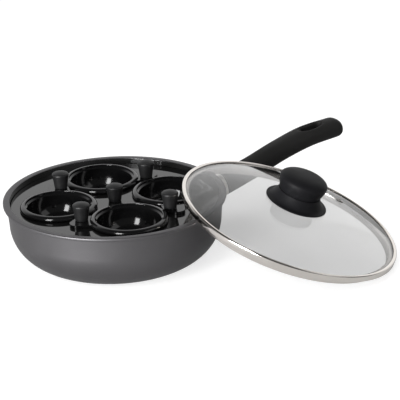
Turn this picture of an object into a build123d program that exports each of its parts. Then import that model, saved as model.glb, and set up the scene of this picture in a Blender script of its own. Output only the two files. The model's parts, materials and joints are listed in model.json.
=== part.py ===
from build123d import *
import os
from math import asin, atan2, cos, degrees, hypot, radians, sin, sqrt

# Egg poacher pan: a shallow pan with a lift-out tray, four lift-out egg cups and a glass lid.
# The lid leans on the right side of the pan with its far edge on the table.
# Origin: middle of the pan's base on the table. +X right, +Y away from the viewer, +Z up.

# Pan
rim_radius = 105.0
rim_width = 6.4
rim_thickness = 3.0
rim_edge_radius = 1.0
lip_overhang = 3.2
pan_height = 60.0
wall_taper = 1.7
wall_thickness = 3.7
corner_reach = 39.1
corner_drop = 38.6
floor_thickness = 4.0
ledge_width = 2.0
overrun = 5.0

# Steel disc in the base
disc_radius = 55.8
disc_thickness = 1.0
disc_groove_width = 1.2
disc_groove_depth = 0.4
disc_groove_shares = (0.35, 0.55, 0.75)
fit_gap = 0.2

# Handle, at its own azimuth round the pan
handle_azimuth = 34.0
handle_pitch = 13.6
bracket_reach = 12.0
bracket_width = 16.0
bracket_depth = 18.0
bracket_foot_size = 25.0
bracket_foot_thickness = 3.5
bracket_corner = 4.0
handle_root_drop = 21.2
tongue_width = 9.0
tongue_thickness = 5.0
tongue_length = 42.0
ferrule_length = 9.0
ferrule_margin = 0.6
grip_length = 138.0
grip_rise = 31.0
grip_width = 26.0
grip_thickness = 22.0
grip_corner_share = 0.44
# Each station along the grip: distance, rise, width and thickness as shares of the four sizes above
grip_station_shares = (
    (0.00, 0.00, 0.84, 1.00),
    (0.25, 0.28, 0.86, 0.90),
    (0.50, 0.62, 0.93, 0.80),
    (0.75, 0.87, 1.00, 0.76),
    (1.00, 0.94, 0.96, 0.72),
)
grip_nose_length = 10.0
grip_nose_turns = (25, 48, 67, 80)
hanging_hole_share = 0.775
hanging_hole_rise_share = 0.86
hanging_hole_pitch = 9.0
hanging_hole_length = 23.0
hanging_hole_width = 11.0
grip_screw_offset = 16.0
grip_screw_radius = 2.0
grip_screw_head_radius = 3.6
grip_screw_head_height = 2.4

# Tray
tray_drop = 5.6
tray_thickness = 1.5
tray_clearance = 0.5
tray_edge_radius = 0.6
seat_gap = 0.3

# Cups, spaced out by shares of the radius inside the pan's rim
cup_count = 4
cup_names = ("right", "back", "left", "front")
cup_azimuth = 15.85
cup_circle_share = 0.5467
cup_margin = 8.4
cup_rim_rise = 5.0
cup_rim_rounding = 1.3
cup_rim_width = 3.9
cup_lip_width = 1.0
cup_lip_edge_radius = 0.5
cup_step_width = 0.3
cup_wall = 1.3
cup_depth = 25.0
cup_foot_share = 0.579
cup_hole_clearance = 0.5

# Lugs, lifting knobs and their screws
knob_circle_share = 0.6045
knob_lag = 44.5
lug_radius = 7.2
lug_reach = 7.5
lug_root_radius = 12.0
lug_thickness = 2.7
knob_foot_radius = 5.9
knob_top_radius = 8.3
knob_height = 16.0
knob_crown_rise = 0.9
knob_edge_radius = 1.8
knob_screw_radius = 1.7
knob_screw_head_radius = 3.1
knob_screw_length = 9.0
bore_gap = 0.1
washer_radius = 5.0
washer_thickness = 0.8
pan_head_radius = 3.4
pan_head_height = 1.8

# Lid, measured from the circle where the glass meets its band
lid_rest_share = 0.812
lid_azimuth = -9.4
dome_rise = 18.0
glass_thickness = 3.5
glass_bite = 0.7
band_overhang = 0.3
band_lip_thickness = 0.8
band_lip_gap = 0.3
band_wall = 2.5
band_flange_drop = 4.0
band_flange_thickness = 0.9
band_edge_radius = 0.7
skirt_clearance = 0.6
skirt_wall = 0.8
skirt_drop = 10.8

# Steam vent eyelet
vent_radius = 69.0
vent_azimuth = 54.0
vent_bore_radius = 1.5
vent_tube_radius = 2.4
vent_flange_radius = 3.9
vent_flange_thickness = 0.7
vent_hole_gap = 0.1

# Lid knob
lid_knob_radius = 29.3
lid_knob_edge = 1.3
lid_knob_neck_radius = 20.2
lid_knob_neck_rise = 10.5
lid_knob_hub_radius = 7.0
lid_knob_shell = 1.6
cap_radius = 23.4
cap_waist_height = 1.4
cap_height = 18.2
cap_belly_height = 11.6
cap_crown_radius = 17.0
cap_crown_drop = 1.6
lid_screw_radius = 2.4
lid_screw_length = 21.0
lid_screw_head_radius = 4.6
lid_screw_head_height = 2.4
gasket_radius = 8.0
gasket_thickness = 1.5

# Sizes that follow from the ones above
body_radius = rim_radius - lip_overhang
corner_radius = body_radius - wall_taper
base_radius = corner_radius - corner_reach
rim_inner_radius = rim_radius - rim_width
ledge_radius = rim_inner_radius - ledge_width
lip_underside = pan_height - rim_thickness
handle_root_height = pan_height - handle_root_drop
tray_top = pan_height - tray_drop
tray_underside = tray_top - tray_thickness
ledge_height = tray_underside - seat_gap
tray_radius = rim_inner_radius - tray_clearance
cup_circle_radius = rim_inner_radius * cup_circle_share
cup_rim_radius = rim_inner_radius - cup_circle_radius - cup_margin
cup_lip_radius = cup_rim_radius - cup_rim_width
cup_mouth_radius = cup_lip_radius - cup_lip_width
cup_bowl_radius = cup_mouth_radius - cup_step_width
cup_foot_radius = cup_bowl_radius * cup_foot_share
knob_circle_radius = rim_inner_radius * knob_circle_share


def pan_outside():
    """Outline of the pan's outside, from the middle of its base up to the lip."""
    Line((0, 0), (base_radius, 0))
    EllipticalCenterArc((base_radius, corner_drop), corner_reach, corner_drop, -90, arc_size=90)
    Line((corner_radius, corner_drop), (body_radius, lip_underside))


# Pan body
with BuildPart() as pan_body:
    with BuildSketch(Plane.XZ):
        with BuildLine():
            pan_outside()
            Polyline(
                (body_radius, lip_underside),
                (rim_radius, lip_underside),
                (rim_radius, pan_height),
                (rim_inner_radius, pan_height),
                (rim_inner_radius, ledge_height),
                (ledge_radius, ledge_height),
                (corner_radius - wall_thickness, corner_drop),
            )
            EllipticalCenterArc(
                (base_radius, corner_drop),
                corner_reach - wall_thickness,
                corner_drop - floor_thickness,
                -90,
                arc_size=90,
            )
            Polyline((base_radius, floor_thickness), (0, floor_thickness), (0, 0))
        make_face()
    revolve(axis=Axis.Z)
    with BuildSketch(Plane.XY):
        Circle(disc_radius + fit_gap)
    extrude(amount=disc_thickness, mode=Mode.SUBTRACT)
    rim_edges = pan_body.edges().filter_by(GeomType.CIRCLE).filter_by(
        lambda edge: edge.radius > rim_radius - fit_gap or edge.center().Z > pan_height - fit_gap
    )
    fillet(rim_edges, rim_edge_radius)

# Steel disc let into the base, with rings turned in its face
with BuildPart() as base_disc:
    with BuildSketch(Plane.XY):
        Circle(disc_radius)
    extrude(amount=disc_thickness)
    for share in disc_groove_shares:
        with BuildSketch(Plane.XY):
            Circle(disc_radius * share + disc_groove_width)
            Circle(disc_radius * share, mode=Mode.SUBTRACT)
        extrude(amount=disc_groove_depth, mode=Mode.SUBTRACT)

# Directions of the handle
radial = Vector(cos(radians(handle_azimuth)), sin(radians(handle_azimuth)), 0)
sideways = Vector(-radial.Y, radial.X, 0)
upward = Vector(0, 0, 1)


def handle_section(reach, height, pitch):
    """Plane across the handle: X sideways, Y up, Z along the handle away from the pan."""
    along = radial * cos(radians(pitch)) + upward * sin(radians(pitch))
    return Plane(origin=radial * reach + upward * height, x_dir=sideways, z_dir=along)


bracket_end = body_radius + bracket_reach
ferrule_plane = handle_section(bracket_end, handle_root_height, handle_pitch)
grip_plane = ferrule_plane.offset(ferrule_length)
foot_plane = ferrule_plane.offset(bracket_foot_thickness - bracket_reach)
screw_plane = Plane(
    grip_plane.offset(grip_screw_offset).origin, x_dir=sideways, z_dir=grip_plane.y_dir
)

# Bracket on the pan wall, with the tongue that the grip slides over
with BuildPart() as handle_bracket:
    with BuildSketch(ferrule_plane):
        RectangleRounded(bracket_width, bracket_depth, bracket_corner)
    extrude(amount=-bracket_reach - overrun)
    with BuildSketch(foot_plane):
        RectangleRounded(bracket_foot_size, bracket_foot_size, bracket_corner)
    extrude(amount=-bracket_foot_thickness - overrun)
    with BuildSketch(Plane.XZ):
        with BuildLine():
            pan_outside()
            Polyline((body_radius, lip_underside), (0, lip_underside), (0, 0))
        make_face()
    revolve(axis=Axis.Z, mode=Mode.SUBTRACT)
    with BuildSketch(ferrule_plane):
        RectangleRounded(tongue_width, tongue_thickness, tongue_thickness / 4)
    extrude(amount=tongue_length)
    with BuildSketch(screw_plane):
        Circle(grip_screw_radius + bore_gap)
    extrude(amount=tongue_thickness, both=True, mode=Mode.SUBTRACT)

# Ferrule between bracket and grip
ferrule_width = grip_width * grip_station_shares[0][2] + 2 * ferrule_margin
ferrule_depth = grip_thickness + 2 * ferrule_margin
with BuildPart() as handle_ferrule:
    with BuildSketch(ferrule_plane):
        RectangleRounded(ferrule_width, ferrule_depth, ferrule_depth * grip_corner_share)
        RectangleRounded(
            tongue_width + 2 * bore_gap,
            tongue_thickness + 2 * bore_gap,
            tongue_thickness / 4,
            mode=Mode.SUBTRACT,
        )
    extrude(amount=ferrule_length)

# Moulded grip: rises from the ferrule and levels off towards a rounded tip
grip_start = grip_plane.origin
grip_start_reach = hypot(grip_start.X, grip_start.Y)
grip_sections = []
for index, (along_share, rise_share, width_share, depth_share) in enumerate(grip_station_shares):
    before = grip_station_shares[max(index - 1, 0)]
    after = grip_station_shares[min(index + 1, len(grip_station_shares) - 1)]
    step_along = (after[0] - before[0]) * grip_length
    step_up = (after[1] - before[1]) * grip_rise
    pitch = handle_pitch if index == 0 else degrees(atan2(step_up, step_along))
    section = handle_section(
        grip_start_reach + along_share * grip_length,
        grip_start.Z + rise_share * grip_rise,
        pitch,
    )
    grip_sections.append((section, width_share * grip_width, depth_share * grip_thickness))
hanging_hole_rise = grip_rise * hanging_hole_rise_share
hanging_plane = handle_section(
    grip_start_reach + hanging_hole_share * grip_length,
    grip_start.Z + hanging_hole_rise,
    hanging_hole_pitch,
)
nose_sections = [grip_sections[-1]]
nose_start, nose_width, nose_depth = grip_sections[-1]
for turn in grip_nose_turns:
    narrowing = cos(radians(turn))
    nose_sections.append(
        (
            nose_start.offset(grip_nose_length * sin(radians(turn))),
            nose_width * narrowing,
            nose_depth * narrowing,
        )
    )
with BuildPart() as handle_grip:
    for sections in (grip_sections, nose_sections):
        for section, width, depth in sections:
            with BuildSketch(section):
                RectangleRounded(width, depth, depth * grip_corner_share)
        loft()
    with BuildSketch(Plane(hanging_plane.origin, x_dir=hanging_plane.z_dir, z_dir=hanging_plane.y_dir)):
        SlotOverall(hanging_hole_length, hanging_hole_width)
    extrude(amount=grip_thickness, both=True, mode=Mode.SUBTRACT)
    with BuildSketch(grip_plane):
        RectangleRounded(tongue_width + 2 * bore_gap, tongue_thickness + 2 * bore_gap, tongue_thickness / 4)
    extrude(amount=tongue_length - ferrule_length + bore_gap, mode=Mode.SUBTRACT)
    with BuildSketch(screw_plane):
        Circle(grip_screw_radius + bore_gap)
    extrude(amount=-grip_thickness, mode=Mode.SUBTRACT)
    with BuildSketch(screw_plane.offset(-tongue_thickness)):
        Circle(grip_screw_head_radius + fit_gap)
    extrude(amount=-grip_thickness, mode=Mode.SUBTRACT)

# Screw from below through the grip into the tongue
with BuildPart() as handle_screw:
    with BuildSketch(screw_plane.offset(-tongue_thickness)):
        Circle(grip_screw_head_radius)
    extrude(amount=-grip_screw_head_height)
    with BuildSketch(screw_plane.offset(-tongue_thickness)):
        Circle(grip_screw_radius)
    extrude(amount=tongue_thickness * 1.5)

# Tray with its four cup holes and the hole for its knob's screw
with BuildPart() as poacher_tray:
    with BuildSketch(Plane.XY.offset(tray_underside)):
        Circle(tray_radius)
        with PolarLocations(cup_circle_radius, cup_count, start_angle=cup_azimuth):
            Circle(cup_bowl_radius + cup_hole_clearance, mode=Mode.SUBTRACT)
        Circle(knob_screw_radius + bore_gap, mode=Mode.SUBTRACT)
    extrude(amount=tray_thickness)
    top_circles = poacher_tray.edges().group_by(Axis.Z)[-1].filter_by(GeomType.CIRCLE)
    fillet(top_circles.sort_by(SortBy.RADIUS)[-1], tray_edge_radius)


def lifting_knob(seat):
    """Tapered knob that widens upwards, standing on the origin of the seat plane."""
    side = Plane(seat.origin, x_dir=seat.x_dir, z_dir=-seat.y_dir)
    with BuildPart() as knob:
        with BuildSketch(side) as profile:
            with BuildLine():
                Polyline((0, knob_height), (0, 0), (knob_foot_radius, 0), (knob_top_radius, knob_height))
                TangentArc((0, knob_height + knob_crown_rise), (knob_top_radius, knob_height), tangent=(1, 0))
                Line((0, knob_height + knob_crown_rise), (0, knob_height))
            make_face()
            fillet(profile.vertices().sort_by(Axis.X)[-1], knob_edge_radius)
        revolve(axis=Axis(seat.origin, seat.z_dir))
        with BuildSketch(seat):
            Circle(knob_screw_radius + bore_gap)
        extrude(amount=knob_screw_length, mode=Mode.SUBTRACT)
    return knob.part


# Lifting knob in the middle of the tray, its washer and its screw from below
tray_seat = Plane.XY.offset(tray_top)
tray_knob = lifting_knob(tray_seat)

with BuildPart() as tray_knob_washer:
    with BuildSketch(Plane.XY.offset(tray_underside)):
        Circle(washer_radius)
        Circle(knob_screw_radius + bore_gap, mode=Mode.SUBTRACT)
    extrude(amount=-washer_thickness)

with BuildPart() as tray_knob_screw:
    with BuildSketch(Plane.XY.offset(tray_underside - washer_thickness)):
        Circle(pan_head_radius)
    extrude(amount=-pan_head_height)
    fillet(tray_knob_screw.edges().group_by(Axis.Z)[0], pan_head_height / 2)
    with BuildSketch(Plane.XY.offset(tray_underside - washer_thickness)):
        Circle(knob_screw_radius)
    extrude(amount=washer_thickness + tray_thickness + knob_screw_length - fit_gap)

# Sizes of a cup, measured from the top of the tray
cup_bottom = cup_rim_rise - cup_depth
cup_rim_widest = seat_gap + cup_rim_rounding
cup_step = seat_gap + cup_wall
knob_x = knob_circle_radius * cos(radians(knob_lag)) - cup_circle_radius
knob_y = -knob_circle_radius * sin(radians(knob_lag))
lug_tip_x = knob_x + lug_reach * cos(radians(knob_lag))
lug_tip_y = knob_y - lug_reach * sin(radians(knob_lag))


def egg_cup(place):
    """Bowl that hangs in the tray by its rounded rim, with a lug for its knob."""
    side = Plane(place.origin, x_dir=place.x_dir, z_dir=-place.y_dir)
    under_lug = place.offset(seat_gap)
    with BuildPart() as cup:
        with BuildSketch(side):
            with BuildLine():
                Line((0, cup_bottom), (cup_foot_radius, cup_bottom))
                EllipticalCenterArc(
                    (cup_foot_radius, seat_gap),
                    cup_bowl_radius - cup_foot_radius,
                    seat_gap - cup_bottom,
                    -90,
                    arc_size=90,
                )
                Line((cup_bowl_radius, seat_gap), (cup_rim_radius - cup_rim_rounding, seat_gap))
                EllipticalCenterArc(
                    (cup_rim_radius - cup_rim_rounding, cup_rim_widest),
                    cup_rim_rounding,
                    cup_rim_rounding,
                    -90,
                    arc_size=90,
                )
                EllipticalCenterArc(
                    (cup_lip_radius, cup_rim_widest),
                    cup_rim_radius - cup_lip_radius,
                    cup_rim_rise - cup_rim_widest,
                    arc_size=90,
                )
                Polyline(
                    (cup_lip_radius, cup_rim_rise),
                    (cup_mouth_radius, cup_rim_rise),
                    (cup_mouth_radius, cup_step + cup_wall),
                    (cup_bowl_radius - cup_wall, cup_step),
                )
                EllipticalCenterArc(
                    (cup_foot_radius, cup_step),
                    cup_bowl_radius - cup_wall - cup_foot_radius,
                    cup_step - cup_bottom - cup_wall,
                    -90,
                    arc_size=90,
                )
                Polyline((cup_foot_radius, cup_bottom + cup_wall), (0, cup_bottom + cup_wall), (0, cup_bottom))
            make_face()
        revolve(axis=Axis(place.origin, place.z_dir))
        top_circles = cup.edges().filter_by(GeomType.CIRCLE).group_by(Axis.Z)[-1]
        fillet(top_circles.sort_by(SortBy.RADIUS)[0], cup_lip_edge_radius)
        with BuildSketch(under_lug):
            with Locations((knob_x, knob_y), (lug_tip_x, lug_tip_y)):
                Circle(lug_radius)
            with Locations((knob_x / 2, knob_y / 2)):
                Circle(lug_root_radius)
            make_hull()
            Circle(cup_lip_radius, mode=Mode.SUBTRACT)
        extrude(amount=lug_thickness)
        lug_face = Plane(under_lug.from_local_coords((knob_x, knob_y, 0)), z_dir=-place.z_dir)
        with Locations(lug_face):
            CounterSinkHole(
                knob_screw_radius + bore_gap,
                knob_screw_head_radius + bore_gap,
                depth=lug_thickness,
                counter_sink_angle=90,
            )
    return cup.part


def countersunk_screw(seat):
    """Countersunk screw whose flat head lies on the seat plane and whose shank points up."""
    side = Plane(seat.origin, x_dir=seat.x_dir, z_dir=-seat.y_dir)
    head_height = knob_screw_head_radius - knob_screw_radius
    with BuildPart() as screw:
        with BuildSketch(side):
            Polygon(
                (0, 0),
                (knob_screw_head_radius, 0),
                (knob_screw_radius, head_height),
                (knob_screw_radius, lug_thickness + knob_screw_length - fit_gap),
                (0, lug_thickness + knob_screw_length - fit_gap),
                align=None,
            )
        revolve(axis=Axis(seat.origin, seat.z_dir))
    return screw.part


# Lid place: its skirt stands on the table at the far side and lies on two points of the pan's rim,
# which are the rest share of the skirt's radius up the slope from the lid's middle
skirt_radius = rim_inner_radius - skirt_clearance
rest_reach = skirt_radius * lid_rest_share
rest_half_span = sqrt(skirt_radius**2 - rest_reach**2)
rest_radius = rim_radius - rim_edge_radius
lean_sine = pan_height / (skirt_radius + rest_reach)
lean_cosine = sqrt(1 - lean_sine**2)
skirt_height = seat_gap + skirt_radius * lean_sine
skirt_distance = sqrt(rest_radius**2 - rest_half_span**2) + rest_reach * lean_cosine
lid_distance = skirt_distance + skirt_drop * lean_sine
lid_heading = Vector(cos(radians(lid_azimuth)), sin(radians(lid_azimuth)), 0)
lid_origin = lid_heading * lid_distance + upward * (skirt_height + skirt_drop * lean_cosine)
lid_normal = lid_heading * lean_sine + upward * lean_cosine
lid_down = lid_heading * lean_cosine - upward * lean_sine
lid_side = Plane(lid_origin, x_dir=lid_down, z_dir=lid_down.cross(lid_normal))
lid_plane = Plane(lid_origin, x_dir=lid_down, z_dir=lid_normal)
lid_axis = Axis(lid_origin, lid_normal)

# Band and glass radii, from the outside in
band_radius = rim_radius + band_overhang
band_inner_radius = band_radius - band_wall
glass_radius = band_inner_radius - fit_gap
sight_radius = glass_radius - glass_bite
dome_radius = (sight_radius**2 + dome_rise**2) / (2 * dome_rise)


def dome_height(radius):
    """Height of the glass's top over the circle where it meets the band."""
    return dome_rise - dome_radius + sqrt(dome_radius**2 - radius**2)


# Steam vent place: on the dome, square to the glass
vent_tilt = asin(vent_radius / dome_radius)
vent_across = lid_plane.x_dir * cos(radians(vent_azimuth)) + lid_plane.y_dir * sin(radians(vent_azimuth))
vent_out = vent_across * sin(vent_tilt) + lid_normal * cos(vent_tilt)
vent_origin = lid_origin + lid_normal * (dome_rise - dome_radius) + vent_out * dome_radius
vent_plane = Plane(vent_origin, x_dir=lid_plane.y_dir.cross(vent_out), z_dir=vent_out)

# Domed glass
glass_hole_radius = lid_screw_radius + fit_gap
with BuildPart() as lid_glass:
    with BuildSketch(lid_side):
        with BuildLine():
            for drop in (0, glass_thickness):
                ThreePointArc(
                    (glass_hole_radius, dome_height(glass_hole_radius) - drop),
                    (glass_radius / 2, dome_height(glass_radius / 2) - drop),
                    (glass_radius, dome_height(glass_radius) - drop),
                )
            for radius in (glass_hole_radius, glass_radius):
                Line((radius, dome_height(radius)), (radius, dome_height(radius) - glass_thickness))
        make_face()
    revolve(axis=lid_axis)
    with BuildSketch(vent_plane):
        Circle(vent_tube_radius + vent_hole_gap)
    extrude(amount=glass_thickness * 2, both=True, mode=Mode.SUBTRACT)

# Steel band that folds round the edge of the glass, with the skirt that drops into the pan
band_lip_top = band_lip_gap + band_lip_thickness
with BuildPart() as lid_band:
    with BuildSketch(lid_side) as band_profile:
        Polygon(
            (sight_radius, band_lip_gap),
            (sight_radius, band_lip_top),
            (band_radius, band_lip_top),
            (band_radius, -band_flange_drop - band_flange_thickness),
            (skirt_radius, -band_flange_drop - band_flange_thickness),
            (skirt_radius, -skirt_drop),
            (skirt_radius - skirt_wall, -skirt_drop),
            (skirt_radius - skirt_wall, -band_flange_drop),
            (band_inner_radius, -band_flange_drop),
            (band_inner_radius, band_lip_gap),
            align=None,
        )
        fillet(band_profile.vertices().group_by(Axis.X)[-1], band_edge_radius)
    revolve(axis=lid_axis)

# Steam vent eyelet
with BuildPart() as lid_vent:
    with BuildSketch(vent_plane):
        Circle(vent_tube_radius)
    extrude(amount=-glass_thickness)
    with BuildSketch(vent_plane, vent_plane.offset(-glass_thickness - vent_flange_thickness)):
        Circle(vent_flange_radius)
    extrude(amount=vent_flange_thickness)
    with BuildSketch(vent_plane):
        Circle(vent_bore_radius)
    extrude(amount=glass_thickness * 2, both=True, mode=Mode.SUBTRACT)

# Wide flange under the lid knob
flange_seat = dome_height(lid_knob_radius - lid_knob_edge)
neck_top = flange_seat + lid_knob_neck_rise
with BuildPart() as lid_knob_base:
    with BuildSketch(lid_side):
        with BuildLine():
            Polyline(
                (lid_screw_radius + bore_gap, neck_top),
                (lid_screw_radius + bore_gap, dome_rise),
                (lid_knob_hub_radius, dome_rise),
                (lid_knob_hub_radius, neck_top - 2 * lid_knob_shell),
                (lid_knob_neck_radius - 2 * lid_knob_shell, neck_top - 2 * lid_knob_shell),
                (lid_knob_radius - lid_knob_shell, flange_seat + lid_knob_edge / 2),
                (lid_knob_radius - lid_knob_edge, flange_seat),
                (lid_knob_radius, flange_seat),
                (lid_knob_radius, flange_seat + lid_knob_edge),
            )
            RadiusArc(
                (lid_knob_radius, flange_seat + lid_knob_edge),
                (lid_knob_neck_radius, neck_top),
                lid_knob_radius,
            )
            Line((lid_knob_neck_radius, neck_top), (lid_screw_radius + bore_gap, neck_top))
        make_face()
    revolve(axis=lid_axis)

# Mushroom cap of the lid knob
cap_top = neck_top + cap_height
belly = neck_top + cap_belly_height
with BuildPart() as lid_knob_cap:
    with BuildSketch(lid_side):
        with BuildLine():
            Polyline(
                (0, neck_top),
                (lid_knob_neck_radius - lid_knob_shell / 2, neck_top),
                (lid_knob_neck_radius, neck_top + cap_waist_height),
            )
            Spline(
                (lid_knob_neck_radius, neck_top + cap_waist_height),
                (cap_radius, belly),
                (cap_crown_radius, cap_top - cap_crown_drop),
                tangents=((0, 1), (-1, cap_crown_drop / cap_crown_radius)),
            )
            TangentArc((0, cap_top), (cap_crown_radius, cap_top - cap_crown_drop), tangent=(1, 0))
            Line((0, cap_top), (0, neck_top))
        make_face()
    revolve(axis=lid_axis)
    with BuildSketch(lid_plane.offset(neck_top)):
        Circle(lid_screw_radius + bore_gap)
    extrude(amount=cap_belly_height, mode=Mode.SUBTRACT)

# Sealing washer and screw under the glass
gasket_top = dome_height(gasket_radius) - glass_thickness
with BuildPart() as lid_knob_gasket:
    with BuildSketch(lid_plane.offset(gasket_top)):
        Circle(gasket_radius)
        Circle(lid_screw_radius + bore_gap, mode=Mode.SUBTRACT)
    extrude(amount=-gasket_thickness)

with BuildPart() as lid_knob_screw:
    with BuildSketch(lid_plane.offset(gasket_top - gasket_thickness)):
        Circle(lid_screw_head_radius)
    extrude(amount=-lid_screw_head_height)
    with BuildSketch(lid_plane.offset(gasket_top - gasket_thickness)):
        Circle(lid_screw_radius)
    extrude(amount=lid_screw_length)

# Label and write every piece
os.makedirs("parts", exist_ok=True)
pieces = {
    "pan_body": pan_body.part,
    "base_disc": base_disc.part,
    "handle_bracket": handle_bracket.part,
    "handle_ferrule": handle_ferrule.part,
    "handle_grip": handle_grip.part,
    "handle_screw": handle_screw.part,
    "poacher_tray": poacher_tray.part,
    "tray_knob": tray_knob,
    "tray_knob_washer": tray_knob_washer.part,
    "tray_knob_screw": tray_knob_screw.part,
    "lid_glass": lid_glass.part,
    "lid_band": lid_band.part,
    "lid_vent": lid_vent.part,
    "lid_knob_base": lid_knob_base.part,
    "lid_knob_cap": lid_knob_cap.part,
    "lid_knob_gasket": lid_knob_gasket.part,
    "lid_knob_screw": lid_knob_screw.part,
}
for index, cup_name in enumerate(cup_names):
    turn = radians(cup_azimuth + index * 360 / cup_count)
    outward = Vector(cos(turn), sin(turn), 0)
    cup_place = Plane(outward * cup_circle_radius + upward * tray_top, x_dir=outward, z_dir=upward)
    lug_place = cup_place.offset(seat_gap)
    screw_seat = Plane(lug_place.from_local_coords((knob_x, knob_y, 0)), x_dir=outward, z_dir=upward)
    pieces[f"cup_{cup_name}"] = egg_cup(cup_place)
    pieces[f"knob_{cup_name}"] = lifting_knob(screw_seat.offset(lug_thickness))
    pieces[f"screw_{cup_name}"] = countersunk_screw(screw_seat)
for piece_name, piece in pieces.items():
    piece.label = piece_name
    export_step(piece, f"parts/{piece_name}.step")
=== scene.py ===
import json
from math import asin, atan2, cos, degrees, hypot, pi, radians, sin, sqrt

import bmesh
import bpy
from bpy.props import FloatProperty, FloatVectorProperty, PointerProperty
from mathutils import Matrix, Vector


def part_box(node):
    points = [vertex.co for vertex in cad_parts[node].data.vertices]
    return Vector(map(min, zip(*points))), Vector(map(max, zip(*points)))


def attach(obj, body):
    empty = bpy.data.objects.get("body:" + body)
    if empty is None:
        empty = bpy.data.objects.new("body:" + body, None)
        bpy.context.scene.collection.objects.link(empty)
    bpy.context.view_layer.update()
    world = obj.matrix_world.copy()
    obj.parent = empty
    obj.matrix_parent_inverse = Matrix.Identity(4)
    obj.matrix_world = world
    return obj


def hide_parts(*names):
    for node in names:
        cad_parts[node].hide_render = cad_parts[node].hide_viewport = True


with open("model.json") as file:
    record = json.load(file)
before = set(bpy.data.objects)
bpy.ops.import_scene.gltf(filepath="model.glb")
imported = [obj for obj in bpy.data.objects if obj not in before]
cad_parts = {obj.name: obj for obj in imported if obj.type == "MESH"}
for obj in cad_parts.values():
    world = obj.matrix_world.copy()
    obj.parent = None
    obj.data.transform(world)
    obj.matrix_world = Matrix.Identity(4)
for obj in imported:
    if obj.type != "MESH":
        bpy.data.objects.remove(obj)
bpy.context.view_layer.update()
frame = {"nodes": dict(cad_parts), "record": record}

bl_info = {
    "name": "Egg Poacher Pan",
    "version": (1, 0, 0),
    "blender": (4, 5, 0),
    "location": "3D View > Sidebar > Poacher Pan",
    "description": "Dresses an egg poacher pan with its tray, cups and glass lid",
    "category": "Object",
}

CUP_NAMES = ("right", "back", "left", "front")
# Gap that the solids leave where one stands on another
SEAT_GAP = 0.0003
# Points nearer than this count as one
TOUCHING = 1e-7


def length(name, description, default):
    """A length in metres that a user can change."""
    return FloatProperty(
        name=name, description=description, default=default, unit="LENGTH", precision=5
    )


def turn(name, description, default):
    """An angle that a user can change, given in degrees."""
    return FloatProperty(
        name=name, description=description, default=radians(default), subtype="ANGLE"
    )


def fraction(name, description, default):
    """A share of a size that a user can change."""
    return FloatProperty(name=name, description=description, default=default, subtype="FACTOR")


def wattage(name, description, default):
    """A lamp's power that a user can change."""
    return FloatProperty(name=name, description=description, default=default, subtype="POWER")


def colour(name, description, default):
    """A colour that a user can change."""
    return FloatVectorProperty(
        name=name, description=description, default=default, size=3, subtype="COLOR", min=0, max=1
    )


class PanSizes(bpy.types.PropertyGroup):
    """Sizes of the pan, its tray and its cups."""

    rim_radius: length("Rim radius", "Outer radius of the lip", 0.10497)
    rim_width: length("Rim width", "Width of the lip's flat top", 0.0064)
    rim_thickness: length("Rim thickness", "Height of the lip", 0.003)
    rim_rounding: length("Rim rounding", "Radius on the lip's edges", 0.001)
    lip_overhang: length("Lip overhang", "How far the lip stands out from the wall", 0.0032)
    pan_height: length("Pan height", "Height of the pan", 0.06)
    wall_taper: length("Wall taper", "How much the wall leans out", 0.0017)
    wall_thickness: length("Wall thickness", "Thickness of the wall", 0.0037)
    corner_reach: length("Corner reach", "Width of the rounded corner", 0.0391)
    corner_drop: length("Corner drop", "Height of the rounded corner", 0.0386)
    floor_thickness: length("Floor thickness", "Thickness of the floor", 0.004)
    ledge_width: length("Ledge width", "Width of the step under the tray", 0.002)
    ledge_height: length("Ledge height", "Height of the step under the tray", 0.0526)
    disc_seat: length("Disc seat", "Radius of the recess for the steel disc", 0.056)
    disc_depth: length("Disc depth", "Depth of the recess for the steel disc", 0.001)
    mark_size: length("Mark size", "Height of the figures of the filling scale", 0.0042)


class KnobSizes(bpy.types.PropertyGroup):
    """Sizes of the lifting knobs."""

    foot_radius: length("Foot radius", "Radius at the knob's foot", 0.0059)
    top_radius: length("Top radius", "Radius at the knob's top", 0.0083)
    height: length("Height", "Height of the knob's side", 0.016)
    crown_rise: length("Crown rise", "Rise of the domed top", 0.0009)
    rounding: length("Rounding", "Radius on the top edge", 0.0018)
    foot_rounding: length("Foot rounding", "Radius on the foot's edge", 0.0006)


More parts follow.
